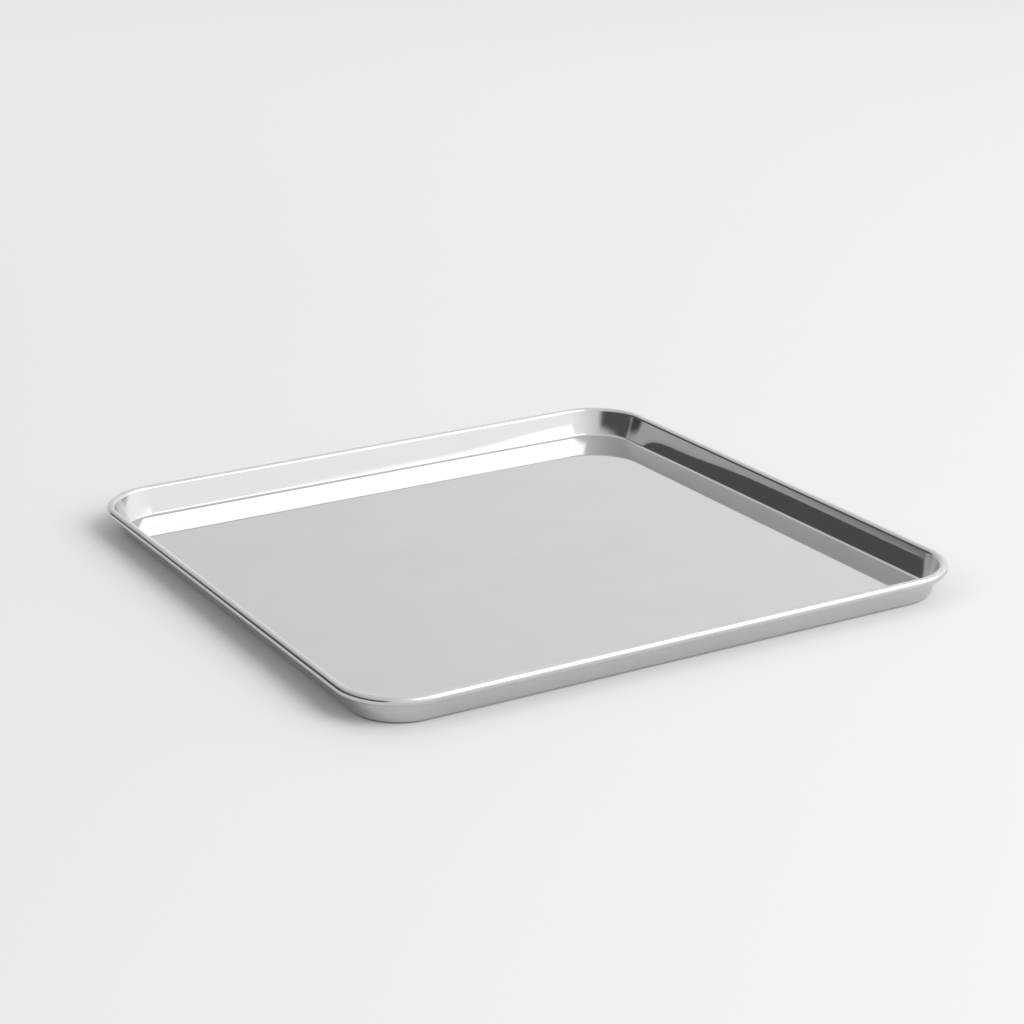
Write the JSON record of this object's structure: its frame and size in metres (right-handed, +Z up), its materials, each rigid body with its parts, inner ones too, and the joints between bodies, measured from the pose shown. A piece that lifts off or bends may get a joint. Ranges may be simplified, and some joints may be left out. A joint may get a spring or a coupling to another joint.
{
  "type": "pill counting tray",
  "caption": "Shallow square tray in mirror-polished stainless steel, with outward-leaning walls, rounded corners and a rim rolled over a stiffening wire.",
  "frame": {"origin": "centre of the underside of the floor, on the surface that the tray stands on", "axes": "+Z up, out of the open side; X and Y square to the four walls"},
  "size_m": [0.3, 0.3, 0.014],
  "materials": {
    "polished_steel": "mirror-polished stainless steel sheet",
    "wire_steel": "drawn stainless steel wire, satin"
  },
  "bodies": {
    "root": {"tray_pan": "polished_steel", "rim_wire": "wire_steel"}
  },
  "joints": []
}
